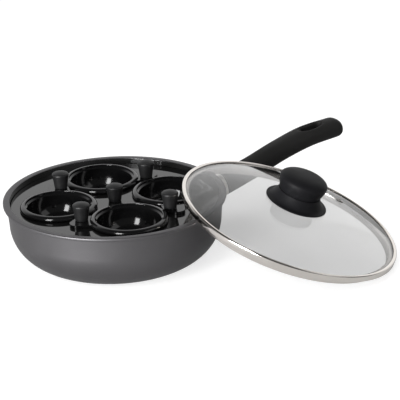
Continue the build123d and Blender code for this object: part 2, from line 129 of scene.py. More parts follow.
class LidSizes(bpy.types.PropertyGroup):
    """Sizes of the lid and its knob."""

    rest_share: fraction("Rest share", "Where the skirt lies on the rim", 0.812)
    heading: turn("Heading", "Direction in which the lid leans", -9.4)
    overhang: length("Overhang", "How far the band stands out past the rim", 0.0003)
    band_wall: length("Band wall", "Width of the band's side", 0.0025)
    glass_bite: length("Glass bite", "How far the band laps over the glass", 0.0007)
    glass_thickness: length("Glass thickness", "Thickness of the glass", 0.0035)
    fit_gap: length("Fit gap", "Gap between glass and band", 0.0002)
    dome_rise: length("Dome rise", "Rise of the glass", 0.018)
    lip_gap: length("Lip gap", "Gap under the band's lip", 0.0003)
    lip_thickness: length("Lip thickness", "Thickness of the band's lip", 0.0008)
    flange_drop: length("Flange drop", "Depth of the band's ledge", 0.004)
    flange_thickness: length("Flange thickness", "Thickness of the band's ledge", 0.0009)
    skirt_clearance: length("Skirt clearance", "Gap between skirt and rim", 0.0006)
    skirt_wall: length("Skirt wall", "Thickness of the skirt", 0.0008)
    skirt_drop: length("Skirt drop", "Depth of the skirt", 0.0108)
    steel_rounding: length("Steel rounding", "Radius on the band's folds", 0.0007)
    vent_reach: length("Vent reach", "Distance of the vent from the middle", 0.069)
    vent_heading: turn("Vent heading", "Direction of the vent from the middle", 54.0)
    vent_bore: length("Vent bore", "Inner radius of the vent", 0.0015)
    vent_tube: length("Vent tube", "Outer radius of the vent's tube", 0.0024)
    vent_flange: length("Vent flange", "Radius of the vent's rolled rims", 0.0039)
    vent_roll: length("Vent roll", "Thickness of the vent's rolled rims", 0.0007)
    knob_radius: length("Knob radius", "Radius of the flange under the knob", 0.0293)
    knob_edge: length("Knob edge", "Height of the flange's edge", 0.0013)
    neck_radius: length("Neck radius", "Radius of the knob's neck", 0.0202)
    neck_rise: length("Neck rise", "Height of the neck over the flange", 0.0105)
    hub_radius: length("Hub radius", "Radius of the hub round the screw", 0.007)
    shell: length("Shell", "Thickness of the flange's shell", 0.0016)
    cap_radius: length("Cap radius", "Largest radius of the cap", 0.0229)
    cap_waist: length("Cap waist", "Height of the cap's waist", 0.0014)
    cap_height: length("Cap height", "Height of the cap", 0.0182)
    cap_belly: length("Cap belly", "Height of the cap's widest line", 0.0116)


class GripSizes(bpy.types.PropertyGroup):
    """Sizes of the handle."""

    heading: turn("Heading", "Direction in which the handle points", 34.0)
    pitch: turn("Pitch", "Rise of the handle at its root", 13.6)
    root_reach: length("Root reach", "Distance of the ferrule from the pan's middle", 0.1138)
    root_height: length("Root height", "Height of the handle's root", 0.0388)
    ferrule_length: length("Ferrule length", "Length of the ferrule", 0.009)
    ferrule_margin: length("Ferrule margin", "How far the ferrule stands proud of the grip", 0.0006)
    ferrule_rounding: length("Ferrule rounding", "Radius on the ferrule's edges", 0.0009)
    length: length("Length", "Length of the grip", 0.138)
    rise: length("Rise", "Rise of the grip", 0.031)
    width: length("Width", "Largest width of the grip", 0.026)
    thickness: length("Thickness", "Largest thickness of the grip", 0.022)
    corner_share: fraction("Corner share", "Corner radius as a share of the thickness", 0.44)
    nose_length: length("Nose length", "Length of the rounded tip", 0.0087)
    hole_length: length("Hole length", "Length of the hanging hole", 0.026)
    hole_width: length("Hole width", "Width of the hanging hole", 0.011)
    dish_length: length("Dish length", "Length of the hollow round the hanging hole", 0.038)
    dish_width: length("Dish width", "Width of the hollow round the hanging hole", 0.02)
    dish_depth: length("Dish depth", "Depth of the hollow round the hanging hole", 0.0032)
    hole_reach_share: fraction("Hole reach share", "Place of the hole along the grip", 0.815)
    hole_rise_share: fraction("Hole rise share", "Height of the hole as a share of the rise", 0.862)
    hole_pitch: turn("Hole pitch", "Tilt of the hanging hole", 9.0)


class Finishes(bpy.types.PropertyGroup):
    """Colours of the finishes."""

    body: colour("Pan body", "Satin coating of the pan", (0.106, 0.1035, 0.108))
    lining: colour("Lining", "Black coating inside the pan", (0.012, 0.012, 0.012))
    tray: colour("Tray", "Glossy coating of the tray", (0.006, 0.006, 0.006))
    cup: colour("Cup", "Glossy coating of the cups", (0.004, 0.004, 0.0042))
    knob: colour("Knob", "Moulded plastic of the lifting knobs", (0.007, 0.007, 0.0074))
    grip: colour("Grip", "Moulded plastic of the grip", (0.0125, 0.0123, 0.012))
    lid_knob: colour("Lid knob", "Moulded plastic of the lid knob", (0.0068, 0.0068, 0.0078))
    steel: colour("Steel", "Polished steel", (0.82, 0.78, 0.738))
    glass: colour("Glass", "Clear glass", (0.66, 0.66, 0.66))
    rubber: colour("Rubber", "Silicone washer under the glass", (0.03, 0.03, 0.03))
    marks: colour("Marks", "Printed filling scale", (0.17, 0.17, 0.175))
    floor: colour("Floor", "Pale floor", (0.45, 0.45, 0.45))


class StageSettings(bpy.types.PropertyGroup):
    """Camera and lamps."""

    camera_place: FloatVectorProperty(
        name="Camera place",
        description="Where the camera stands",
        default=(0.07993, -1.57914, 0.68961),
        size=3,
        subtype="TRANSLATION",
        precision=5,
    )
    camera_tilt: turn("Camera tilt", "Turn of the camera up from straight down", 68.0286)
    camera_roll: turn("Camera roll", "Turn of the camera about its own axis", -1.6902)
    camera_lens: FloatProperty(
        name="Lens",
        description="Focal length in millimetres",
        default=162.82,
        subtype="DISTANCE_CAMERA",
    )
    floor_radius: length("Floor radius", "Radius of the floor", 1.1)
    key_power: wattage("Key power", "Power of the key softbox", 28.0)
    skim_power: wattage("Skim power", "Power of the low softbox", 34.0)
    fill_power: wattage("Fill power", "Power of the fill softbox", 4.0)
    top_power: wattage("Top power", "Power of the top softbox", 16.0)


SETTINGS = {
    "poacher_pan": PanSizes,
    "poacher_knob": KnobSizes,
    "poacher_lid": LidSizes,
    "poacher_grip": GripSizes,
    "poacher_finish": Finishes,
    "poacher_stage": StageSettings,
}


# Modelling helpers

def clear_selection():
    """Leaves object mode and deselects everything."""
    if bpy.context.object and bpy.context.object.mode != "OBJECT":
        bpy.ops.object.mode_set(mode="OBJECT")
    bpy.ops.object.select_all(action="DESELECT")


def pick(piece):
    """Selects one piece alone and makes it active."""
    clear_selection()
    piece.select_set(True)
    bpy.context.view_layer.objects.active = piece


def named(name):
    """Names the object that was just added, and its mesh."""
    piece = bpy.context.object
    piece.name = name
    piece.data.name = name
    return piece


def start_editing(piece, mode="EDGE"):
    """Opens a piece in edit mode with nothing selected."""
    pick(piece)
    bpy.ops.object.mode_set(mode="EDIT")
    bpy.ops.mesh.select_mode(type=mode)
    bpy.ops.mesh.select_all(action="DESELECT")


def select_open_edges(piece):
    """Selects the edges that only one face or none uses."""
    mesh = bmesh.from_edit_mesh(piece.data)
    for edge in mesh.edges:
        edge.select_set(len(edge.link_faces) < 2)
    bmesh.update_edit_mesh(piece.data)


def stretch(piece, width, depth, height):
    """Opens a piece in edit mode and scales it about the origin, all selected."""
    start_editing(piece, "VERT")
    bpy.ops.mesh.select_all(action="SELECT")
    bpy.ops.transform.resize(value=(width, depth, height), center_override=(0, 0, 0))


def extrude_up(height):
    """Extrudes the selected faces upwards."""
    bpy.ops.mesh.extrude_region_move(TRANSFORM_OT_translate={"value": (0, 0, height)})


def apply_place(piece):
    """Writes a piece's place into its mesh, so that its object is at the origin."""
    pick(piece)
    bpy.ops.object.transform_apply(location=True, rotation=True, scale=True)


def modify(piece, name, kind, **settings):
    """Adds a modifier to a piece, with its settings."""
    modifier = piece.modifiers.new(name, kind)
    for setting, value in settings.items():
        setattr(modifier, setting, value)


def apply_modifiers(piece):
    """Applies the piece's modifiers in their order."""
    pick(piece)
    for modifier in list(piece.modifiers):
        bpy.ops.object.modifier_apply(modifier=modifier.name)


def close_and_smooth(piece, angle=35.0):
    """Merges doubles, points the faces outwards and smooths all but the sharp edges."""
    start_editing(piece, "VERT")
    bpy.ops.mesh.select_all(action="SELECT")
    bpy.ops.mesh.remove_doubles(threshold=10 * TOUCHING)
    bpy.ops.mesh.normals_make_consistent(inside=False)
    clear_selection()
    pick(piece)
    bpy.ops.object.shade_smooth_by_angle(angle=radians(angle))


def place_piece(piece, matrix):
    """Moves a piece modelled upright at the origin to its place."""
    piece.matrix_world = matrix @ piece.matrix_world
    apply_place(piece)


def copy_piece(piece, name, matrix):
    """Copies a piece with a mesh of its own and places the copy."""
    pick(piece)
    bpy.ops.object.duplicate(linked=False)
    copy = named(name)
    place_piece(copy, matrix)
    return copy


def arc(centre, across, up, start, end, steps):
    """Points along an ellipse's arc, as radius and height; angles in degrees."""
    points = []
    for step in range(steps + 1):
        angle = radians(start + (end - start) * step / steps)
        points.append((centre[0] + across * cos(angle), centre[1] + up * sin(angle)))
    return points


def turned_piece(name, profile, segments=128, angle=35.0):
    """Turns a profile of radii and heights about Z, ring by ring, from a circle.

    A profile that starts or ends on the axis is closed there, and one that ends where it
    starts is a ring.
    """
    apart = [True] + [
        hypot(point[0] - last[0], point[1] - last[1]) > TOUCHING
        for last, point in zip(profile, profile[1:])
    ]
    profile = [point for point, kept in zip(profile, apart) if kept]
    pole = profile[0][0] < TOUCHING
    rings = profile[1:] if pole else profile
    clear_selection()
    bpy.ops.mesh.primitive_circle_add(
        vertices=segments,
        radius=rings[0][0],
        fill_type="TRIFAN" if pole else "NOTHING",
        location=(0, 0, rings[0][1]),
    )
    piece = named(name)
    apply_place(piece)
    start_editing(piece)
    if pole:
        mesh = bmesh.from_edit_mesh(piece.data)
        for vertex in mesh.verts:
            vertex.select_set(hypot(vertex.co.x, vertex.co.y) < TOUCHING)
        bmesh.update_edit_mesh(piece.data)
        bpy.ops.transform.translate(value=(0, 0, profile[0][1] - rings[0][1]))
        bpy.ops.mesh.select_all(action="DESELECT")
    select_open_edges(piece)
    radius, height = rings[0]
    for next_radius, next_height in rings[1:]:
        step = {"value": (0, 0, next_height - height)}
        bpy.ops.mesh.extrude_edges_move(TRANSFORM_OT_translate=step)
        if next_radius < TOUCHING:
            bpy.ops.mesh.merge(type="CENTER")
            break
        scale = next_radius / radius
        centre = (0, 0, next_height)
        bpy.ops.transform.resize(value=(scale, scale, 1), center_override=centre)
        radius, height = next_radius, next_height
    close_and_smooth(piece, angle)
    return piece


def flat_outline(name, width, depth):
    """A flat rectangle at the origin, open in edit mode."""
    clear_selection()
    bpy.ops.mesh.primitive_plane_add(size=1, location=(0, 0, 0))
    piece = named(name)
    stretch(piece, width, depth, 1)
    return piece


def select_faces():
    """Selects all faces of the piece that is open in edit mode."""
    bpy.ops.mesh.select_mode(type="FACE")
    bpy.ops.mesh.select_all(action="SELECT")


def rounded_outline(name, width, depth, corner, segments=7):
    """A flat rounded rectangle at the origin, ready to extrude."""
    piece = flat_outline(name, width, depth)
    bpy.ops.mesh.bevel(offset=corner, segments=segments, affect="VERTICES")
    select_faces()
    return piece


def finish_piece(piece, body, slot, nodes=(), look=None):
    """Gives a piece the material of its look, or else of its slot, puts it under its body, and
    hides what it stands for.
    """
    piece.data.materials.clear()
    piece.data.materials.append(finish_of(look or slot))
    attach(piece, body)
    if nodes:
        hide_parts(*nodes)


# Places

def lid_place(lid, pan):
    """Place of the lid's middle: X down the slope, Z out of the glass.

    The skirt stands on the table at the far side and lies on the rim at the near side.
    """
    skirt = pan.rim_radius - pan.rim_width - lid.skirt_clearance
    lean = asin(pan.pan_height / (skirt * (1 + lid.rest_share)))
    rest = skirt * lid.rest_share
    half_span = sqrt(skirt * skirt - rest * rest)
    rim = pan.rim_radius - pan.rim_rounding
    distance = sqrt(rim * rim - half_span * half_span) + rest * cos(lean)
    distance += lid.skirt_drop * sin(lean)
    height = SEAT_GAP + skirt * sin(lean) + lid.skirt_drop * cos(lean)
    heading = Matrix.Rotation(lid.heading, 4, "Z")
    middle = heading @ Vector((distance, 0, height))
    return Matrix.Translation(middle) @ heading @ Matrix.Rotation(lean, 4, "Y")


def dome(lid, pan):
    """Radius of the glass's sphere and the radius of its visible edge."""
    edge = pan.rim_radius + lid.overhang - lid.band_wall - lid.fit_gap - lid.glass_bite
    return (edge * edge + lid.dome_rise * lid.dome_rise) / (2 * lid.dome_rise), edge


def dome_height(lid, pan, radius):
    """Height of the glass over the lid's middle plane at a radius."""
    sphere, _ = dome(lid, pan)
    return lid.dome_rise - sphere + sqrt(sphere * sphere - radius * radius)


def ferrule_place(grip):
    """Place of the ferrule's foot, Z along the handle."""
    root = Matrix.Translation((grip.root_reach, 0, grip.root_height))
    upright = Matrix.Rotation(pi / 2 - grip.pitch, 4, "Y")
    return Matrix.Rotation(grip.heading, 4, "Z") @ root @ upright


def node_middle(node):
    """Middle of a CAD node's box, at its foot."""
    low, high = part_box(node)
    return Vector(((low[0] + high[0]) / 2, (low[1] + high[1]) / 2, low[2]))


# Materials

def set_inputs(node, values):
    """Gives a node's inputs their values."""
    for socket, value in values.items():
        node.inputs[socket].default_value = value


def add_node(tree, kind, values=None, **settings):
    """Adds a node to a tree, with its inputs' values and its own settings."""
    node = tree.nodes.new(f"ShaderNode{kind}")
    for name, setting in settings.items():
        setattr(node, name, setting)
    set_inputs(node, values or {})
    return node


def new_material(name, values):
    """A material, its tree and its shader, with the shader's values."""
    material = bpy.data.materials.new(name)
    material.use_nodes = True
    shader = material.node_tree.nodes["Principled BSDF"]
    set_inputs(shader, values)
    return material, material.node_tree, shader


def wire(tree, *links):
    """Links nodes: each link is a node, its output, the next node and its input."""
    for node, output, target, entry in links:
        tree.links.new(node.outputs[output], target.inputs[entry])


def calculate(tree, operation, *inputs):
    """A Math node's result; each input is a number, or a node and its output."""
    node = add_node(tree, "Math", operation=operation)
    for socket, value in zip(node.inputs, inputs):
        if isinstance(value, tuple):
            source, output = value
            tree.links.new(source.outputs[output], socket)
        else:
            socket.default_value = value
    return node, "Value"


def build_grain(group, entry, leave):
    """A height and a mask that vary finely over the surface."""
    noise = add_node(group, "TexNoise", {"Roughness": 0.6})
    spread = add_node(group, "MapRange", {"From Min": 0.35, "From Max": 0.65})
    wire(
        group,
        (entry, "Vector", noise, "Vector"),
        (entry, "Scale", noise, "Scale"),
        (entry, "Detail", noise, "Detail"),
        (noise, "Fac", spread, "Value"),
        (noise, "Fac", leave, "Height"),
        (spread, "Result", leave, "Mask"),
    )


def build_rings(group, entry, leave):
    """A height that varies with the distance from the Z axis and, by Level, along it."""
    parts = add_node(group, "SeparateXYZ")
    flat = add_node(group, "CombineXYZ")
    away = add_node(group, "VectorMath", operation="LENGTH")
    levels = ((parts, "Z"), (entry, "Level"), (away, "Value"))
    noise = add_node(group, "TexNoise", {"Detail": 2.0}, noise_dimensions="1D")
    wire(
        group,
        (entry, "Vector", parts, "Vector"),
        (parts, "X", flat, "X"),
        (parts, "Y", flat, "Y"),
        (flat, "Vector", away, 0),
        (*calculate(group, "MULTIPLY_ADD", *levels), noise, "W"),
        (entry, "Rings", noise, "Scale"),
        (noise, "Fac", leave, "Height"),
    )


def build_marks(group, entry, leave):
    """A roughness between two values, in soft patches, and the patches' mask."""
    noise = add_node(group, "TexNoise", {"Detail": 4.0, "Distortion": 0.6})
    spread = add_node(group, "MapRange", {"From Min": 0.4, "From Max": 0.68})
    wire(
        group,
        (entry, "Vector", noise, "Vector"),
        (entry, "Scale", noise, "Scale"),
        (noise, "Fac", spread, "Value"),
        (entry, "Clean", spread, "To Min"),
        (entry, "Marked", spread, "To Max"),
        (spread, "Result", leave, "Roughness"),
        (noise, "Fac", leave, "Mask"),
    )


# Each shared group's inputs besides its vector, its outputs, and what builds it
GROUPS = {
    "Fine Grain": ({"Scale": 900.0, "Detail": 3.0}, ("Height", "Mask"), build_grain),
    "Turned Rings": ({"Rings": 1500.0, "Level": 0.0}, ("Height",), build_rings),
    "Handling Marks": (
        {"Scale": 30.0, "Clean": 0.2, "Marked": 0.3},
        ("Roughness", "Mask"),
        build_marks,
    ),
}


def shared_group(name):
    """A shader node group, built when it is first asked for."""
    if name in bpy.data.node_groups:
        return bpy.data.node_groups[name]
    inputs, outputs, build = GROUPS[name]
    group = bpy.data.node_groups.new(name, "ShaderNodeTree")
    sockets = group.interface
    sockets.new_socket(name="Vector", in_out="INPUT", socket_type="NodeSocketVector")
    for socket, value in inputs.items():
        added = sockets.new_socket(name=socket, in_out="INPUT", socket_type="NodeSocketFloat")
        added.default_value = value
    for socket in outputs:
        sockets.new_socket(name=socket, in_out="OUTPUT", socket_type="NodeSocketFloat")
    build(group, group.nodes.new("NodeGroupInput"), group.nodes.new("NodeGroupOutput"))
    return group


class Finish:
    """A material under construction: its nodes, its links and its shader."""

    def __init__(self, name, settings):
        self.material, self.tree, self.shader = new_material(name, settings)
        self.mapping = add_node(self.tree, "Mapping", vector_type="TEXTURE")
        place = add_node(self.tree, "TexCoord")
        wire(self.tree, (place, "Object", self.mapping, "Vector"))

    def centre(self, matrix):
        """Centres the patterns on a place."""
        self.mapping.inputs["Location"].default_value = matrix.to_translation()
        self.mapping.inputs["Rotation"].default_value = matrix.to_euler()

    def group(self, name, **values):
        """Places a shared group and sets its values."""
        node = add_node(self.tree, "Group", values, node_tree=shared_group(name))
        wire(self.tree, (self.mapping, "Vector", node, "Vector"))
        return node

    def roughness(self, clean, marked, scale):
        """Roughness in soft patches."""
        marks = self.group("Handling Marks", Scale=scale, Clean=clean, Marked=marked)
        wire(self.tree, (marks, "Roughness", self.shader, "Roughness"))
        return marks

    def blend(self, pattern, first, second):
        """Base colour between two colours, by a pattern's mask."""
        colours = {6: (*first, 1), 7: (*second, 1)}
        mix = add_node(self.tree, "Mix", colours, data_type="RGBA")
        wire(self.tree, (pattern, "Mask", mix, "Factor"), (mix, 2, self.shader, "Base Color"))

    def bump(self, pattern, strength, distance, under=None):
        """Relief from a pattern's height, over another relief if there is one."""
        bump = add_node(self.tree, "Bump", {"Strength": strength, "Distance": distance})
        wire(self.tree, (pattern, "Height", bump, "Height"))
        if under:
            wire(self.tree, (under, "Normal", bump, "Normal"))
        wire(self.tree, (bump, "Normal", self.shader, "Normal"))
        return bump


def shade(values, factor):
    """A colour made lighter or darker."""
    return tuple(min(value * factor, 1) for value in values)


def coated_metal(name, tone, settings, rough, ring_strength, speckle, relief):
    """Coated metal: faint turned rings, a fine speckle and soft handling marks."""
    finish = Finish(name, settings)
    grain = finish.group("Fine Grain", Scale=2600.0, Detail=2.0)
    rings = finish.group("Turned Rings", Rings=900.0, Level=1.0)
    finish.roughness(*rough, 22.0)
    finish.blend(grain, shade(tone, 1 - speckle), shade(tone, 1 + speckle))
    first = finish.bump(rings, ring_strength, 0.0001)
    finish.bump(grain, relief, 0.0001, first)
    return finish.material


def moulded_plastic(name, tone, rough, relief, gloss):
    """Moulded plastic with a fine spark-eroded grain."""
    finish = Finish(name, {"IOR": 1.46, "Specular IOR Level": gloss})
    grain = finish.group("Fine Grain", Scale=1500.0, Detail=3.0)
    marks = finish.roughness(*rough, 45.0)
    finish.blend(marks, shade(tone, 0.85), shade(tone, 1.15))
    finish.bump(grain, relief, 0.00012)
    return finish.material


def polished_steel(name, tone, rough, centre, rings, strength):
    """Polished steel with fine turned lines about its own axis."""
    finish = Finish(name, {"Metallic": 1.0})
    if centre:
        finish.centre(centre)
    lines = finish.group("Turned Rings", Rings=rings, Level=0.7)
    marks = finish.roughness(*rough, 60.0)
    finish.blend(marks, shade(tone, 0.93), shade(tone, 1.05))
    finish.bump(lines, strength, 0.0001)
    return finish.material


def clear_glass(name, tone, centre):
    """Clear toughened glass with the faintest wipe marks."""
    finish = Finish(name, {"Transmission Weight": 1.0, "IOR": 1.5})
    finish.centre(centre)
    marks = finish.roughness(0.0, 0.03, 25.0)
    finish.blend(marks, tone, shade(tone, 1.01))
    wave = finish.group("Fine Grain", Scale=18.0, Detail=0.0)
    finish.bump(wave, 0.05, 0.0008)
    return finish.material


def grained_matter(name, tone, ior, scale, detail, rough, dark, light, relief):
    """Rubber or print: a fine grain in its colour and its relief."""
    finish = Finish(name, {"IOR": ior})
    grain = finish.group("Fine Grain", Scale=scale, Detail=detail)
    finish.roughness(*rough)
    finish.blend(grain, shade(tone, dark), shade(tone, light))
    finish.bump(grain, relief, 0.0001)
    return finish.material


# Coated metal by slot: colour, shader settings, clean and marked roughness, rings, speckle, grain
ANODISED = {"Metallic": 0.85, "IOR": 1.5}
ENAMELLED = {"Metallic": 0.0, "IOR": 1.5}
COATED = {
    "pan_anodised": ("body", ANODISED, (0.44, 0.5), 0.12, 0.06, 0.08),
    "pan_lining": ("lining", ENAMELLED, (0.16, 0.24), 0.03, 0.2, 0.02),
    "tray_nonstick": ("tray", ENAMELLED, (0.035, 0.06), 0.004, 0.2, 0.006),
    "cup_nonstick": ("cup", {"Metallic": 0.0, "IOR": 1.48}, (0.09, 0.14), 0.004, 0.2, 0.006),
}
# Moulded plastic by slot: colour, clean and marked roughness, grain, gloss
MOULDED = {
    "handle_black": ("grip", (0.55, 0.68), 0.3, 0.16),
    "knob_black": ("knob", (0.42, 0.52), 0.2, 0.34),
    "lid_knob_black": ("lid_knob", (0.48, 0.58), 0.25, 0.12),
}
# Rubber and print by slot: colour, index of refraction, grain's scale and detail, clean and
# marked roughness with the size of its patches, darkest and lightest share, grain
GRAINED = {
    "gasket_rubber": ("rubber", 1.4, 1200.0, 4.0, (0.6, 0.75, 60.0), 0.8, 1.2, 0.15),
    "scale_print": ("marks", 1.45, 3000.0, 3.0, (0.35, 0.5, 80.0), 0.75, 1.0, 0.1),
}
# Steel by slot: brightness, clean and marked roughness, what its lines turn about, their
# number and their depth. The ferrule's brightness is a painted highlight, its steel lightened past
# the band's, and the vent's brightness is painted shade, its steel darkened
STEEL = {
    "disc_steel": (0.85, (0.25, 0.35), None, 1400.0, 0.35),
    # painted highlight: the ferrule's steel is lightened to look bright
    "ferrule_steel": (1.22, (0.3, 0.4), "ferrule", 1600.0, 0.04),
    "bracket_metal": (0.6, (0.35, 0.45), "ferrule", 700.0, 0.1),
    "band_steel": (1.0, (0.1, 0.17), "lid", 1500.0, 0.03),
    # painted shade: the vent's steel is darkened to look like a dark ring
    "vent_steel": (0.4, (0.2, 0.28), "lid", 1200.0, 0.03),
    "screw_steel": (0.9, (0.25, 0.35), None, 1500.0, 0.1),
}


def finish_of(slot):
    """The material of a slot, made when it is first asked for."""
    name = f"poacher_{slot}"
    if name in bpy.data.materials:
        return bpy.data.materials[name]
    scene = bpy.context.scene
    tones = scene.poacher_finish
    lid = lid_place(scene.poacher_lid, scene.poacher_pan)
    axes = {None: None, "lid": lid, "ferrule": ferrule_place(scene.poacher_grip)}
    kinds = ((COATED, coated_metal), (MOULDED, moulded_plastic), (GRAINED, grained_matter))
    for table, make in kinds:
        if slot in table:
            tone, *values = table[slot]
            return make(name, getattr(tones, tone), *values)
    if slot in STEEL:
        # for the ferrule and the vent this brightness is painted light: a painted highlight and
        # painted shade
        brightness, rough, axis, rings, strength = STEEL[slot]
        tone = shade(tones.steel, brightness)
        return polished_steel(name, tone, rough, axes[axis], rings, strength)
    if slot == "lid_glass":
        return clear_glass(name, tones.glass, lid)
    raise RuntimeError(f"no finish is known for the slot {slot}")


# Operators, one for each piece or group of like pieces

class POACHER_OT_finish_frame(bpy.types.Operator):
    """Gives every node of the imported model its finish"""

    bl_idname = "poacher.finish_frame"
    bl_label = "Finish the Frame"

    def execute(self, context):
        for subpart in frame["record"]["subparts"]:
            node = frame["nodes"][subpart["node"]]
            node.data.materials.clear()
            node.data.materials.append(finish_of(subpart["material_slot"]))
        return {"FINISHED"}


class POACHER_OT_pan_shell(bpy.types.Operator):
    """Turns the pan's shell with its rounded lip and the step for the tray"""

    bl_idname = "poacher.pan_shell"
    bl_label = "Pan Shell"

    def execute(self, context):
        pan = context.scene.poacher_pan
        wall = pan.rim_radius - pan.lip_overhang
        corner = wall - pan.wall_taper
        base = corner - pan.corner_reach
        inside = pan.rim_radius - pan.rim_width
        ledge = inside - pan.ledge_width
        under = pan.pan_height - pan.rim_thickness
        soft = pan.rim_rounding
        cove = soft * 0.6
        seat = pan.disc_seat
        chamfer = 0.0002
        profile = [(0, pan.disc_depth), (seat, pan.disc_depth)]
        profile += [(seat, chamfer), (seat + chamfer, 0)]
        profile += arc((base, pan.corner_drop), pan.corner_reach, pan.corner_drop, -90, 0, 28)
        profile += [(wall - cove * 0.3, under - cove)]
        profile += arc((wall + cove, under - cove), cove, cove, 180, 90, 4)
        profile += arc((pan.rim_radius - soft, under + soft), soft, soft, -90, 0, 5)
        profile += arc((pan.rim_radius - soft, pan.pan_height - soft), soft, soft, 0, 90, 5)
        profile += arc((inside + soft, pan.pan_height - soft), soft, soft, 90, 180, 5)
        profile += [(inside, pan.ledge_height + cove)]
        profile += arc((inside - cove, pan.ledge_height + cove), cove, cove, 0, -90, 4)
        profile += [(ledge + cove, pan.ledge_height)]
        profile += arc((ledge + cove, pan.ledge_height - cove), cove, cove, 90, 180, 4)
        profile += arc(
            (base, pan.corner_drop),
            pan.corner_reach - pan.wall_thickness,
            pan.corner_drop - pan.floor_thickness,
            0,
            -90,
            24,
        )
        profile += [(base * 0.5, pan.floor_thickness), (0, pan.floor_thickness)]
        shell = turned_piece("pan_shell", profile, 192)
        finish_piece(shell, "pan", "pan_anodised", ["pan_body"])
        shell.data.materials.append(finish_of("pan_lining"))
        for face in shell.data.polygons:
            middle = Vector((face.center.x, face.center.y, 0))
            inwards = face.normal.dot(middle) < -1e-9 or face.normal.z > 0.5
            below = face.center.z < pan.pan_height - soft / 2
            if inwards and below and middle.length < inside + soft / 2:
                face.material_index = 1
        return {"FINISHED"}


# How far a lifting knob's side is drawn in at mid height
KNOB_HOLLOW = 0.00012


class POACHER_OT_lifting_knobs(bpy.types.Operator):
    """Turns one lifting knob and copies it to the cups and the tray"""

    bl_idname = "poacher.lifting_knobs"
    bl_label = "Lifting Knobs"

    def execute(self, context):
        knob = context.scene.poacher_knob
        slope = (knob.top_radius - knob.foot_radius) / knob.height
        soft = knob.rounding
        foot = knob.foot_rounding
        lean = degrees(atan2(knob.top_radius - knob.foot_radius, knob.height))
        shoulder = knob.height - soft * (1 + sin(radians(lean)))
        profile = [(0, 0), (knob.foot_radius - foot, 0)]
        profile += arc((knob.foot_radius - foot, foot), foot, foot, -75, -lean, 4)
        for share in (0.15, 0.35, 0.55, 0.75):
            height = shoulder * share
            hollow = KNOB_HOLLOW * sin(pi * share)
            profile.append((knob.foot_radius + slope * height - hollow, height))
        edge = knob.foot_radius + slope * shoulder
        profile += arc((edge - soft * cos(radians(lean)), shoulder), soft, soft, -lean, 80, 8)
        top_edge, top_height = profile[-1]
        crown = knob.height + knob.crown_rise
        for share in (0.75, 0.5, 0.25):
            profile.append((top_edge * share, crown - (crown - top_height) * share * share))
        profile.append((0, crown))
        model = turned_piece("lifting_knob", profile, 72)
        owners = {f"knob_{name}": f"egg_cup_{name}" for name in CUP_NAMES}
        for node, body in {"tray_knob": "tray", **owners}.items():
            copy = copy_piece(model, f"lifting_{node}", Matrix.Translation(node_middle(node)))
            finish_piece(copy, body, "knob_black", [node])
        bpy.data.objects.remove(model, do_unlink=True)
        return {"FINISHED"}


# The grip's stations, evenly spaced along it: shares of its rise, width and thickness
GRIP_STATIONS = (
    (0.0, 0.84, 1.0),
    (0.27, 0.86, 0.93),
    (0.602, 0.93, 0.85),
    (0.842, 1.0, 0.84),
    (0.908, 0.95, 0.81),
)
GRIP_STEPS = 28
# Angles round the quarter circle of the grip's tip
NOSE_ANGLES = (15, 30, 42, 53, 63, 71, 78, 84)
# The even skin that rounds the grip's edges: its cell, its easing steps, and what it regains
SKIN_CELL = 0.00055
EASE_STEPS = 14
EASE_LOSS = 0.0005


def along_grip(share, column):
    """A station's value at a share of the grip's length, along a smooth curve."""
    last = len(GRIP_STATIONS) - 1
    index = min(int(share * last), last - 1)
    part = share * last - index
    before = GRIP_STATIONS[max(index - 1, 0)][column]
    first = GRIP_STATIONS[index][column]
    second = GRIP_STATIONS[index + 1][column]
    after = GRIP_STATIONS[min(index + 2, last)][column]
    if index == 0:
        before = 2 * first - second
    if index == last - 1:
        after = 2 * second - first
    cube = part * part * part
    square = part * part
    curve = (2 * cube - 3 * square + 1) * first + (3 * square - 2 * cube) * second
    leave = (cube - 2 * square + part) * (second - before) / 2
    return curve + leave + (cube - square) * (after - first) / 2


def grip_start(grip):
    """Where the grip starts, at the ferrule's end."""
    return Vector((
        grip.root_reach + grip.ferrule_length * cos(grip.pitch),
        0,
        grip.root_height + grip.ferrule_length * sin(grip.pitch),
    ))


def grip_sections(grip):
    """The grip's cross sections: each one's middle, width, thickness and pitch."""
    centres = []
    for step in range(GRIP_STEPS + 1):
        share = step / GRIP_STEPS
        reach = Vector((share * grip.length, 0, along_grip(share, 0) * grip.rise))
        centres.append(grip_start(grip) + reach)
    sections = []
    for step, centre in enumerate(centres):
        share = step / GRIP_STEPS
        run = centres[min(step + 1, GRIP_STEPS)] - centres[max(step - 1, 0)]
        pitch = atan2(run.z, run.x) if step else grip.pitch
        width = along_grip(share, 1) * grip.width
        sections.append((centre, width, along_grip(share, 2) * grip.thickness, pitch))
    end, width, depth, pitch = sections[-1]
    ahead = Vector((cos(pitch), 0, sin(pitch)))
    for angle in map(radians, NOSE_ANGLES):
        centre = end + ahead * grip.nose_length * sin(angle)
        sections.append((centre, width * cos(angle), depth * cos(angle), pitch))
    return sections


